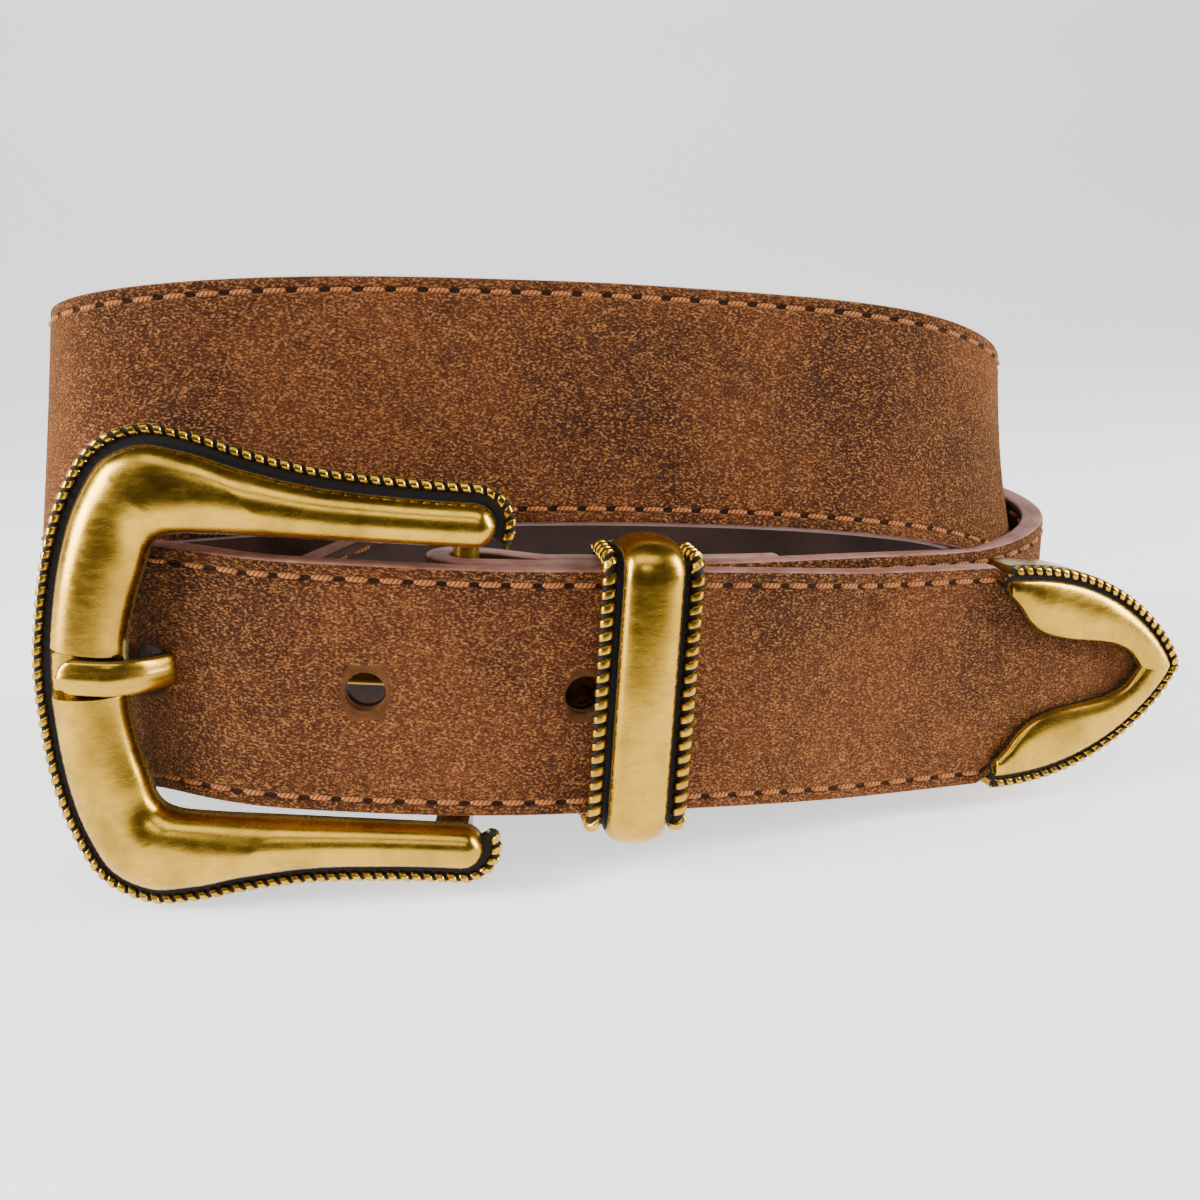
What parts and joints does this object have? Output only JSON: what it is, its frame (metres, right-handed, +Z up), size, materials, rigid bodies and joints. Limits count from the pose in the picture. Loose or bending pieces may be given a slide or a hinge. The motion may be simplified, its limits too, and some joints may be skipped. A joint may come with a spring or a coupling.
{
  "type": "western belt, buckled and wound in a double loop",
  "caption": "Suede western belt, fastened and wound twice round, with a cast buckle, a keeper loop and a pointed metal tip.",
  "frame": {"origin": "middle of the coil's bounding box, on the surface that the belt stands on", "axes": "+X along the coil towards the metal tip, -Y out of the front where the buckle is, +Z up"},
  "size_m": [0.1898, 0.088, 0.0924],
  "materials": {
    "suede": "nubuck-like suede, brown, fine short nap",
    "lining": "smooth dark brown lining leather",
    "brass": "antiqued cast brass, satin, dark in the grooves"
  },
  "bodies": {
    "root": {"strap_face": "suede", "strap_lining": "lining", "buckle_frame": "brass", "prong": "brass", "keeper_loop": "brass", "belt_tip": "brass"}
  },
  "joints": []
}
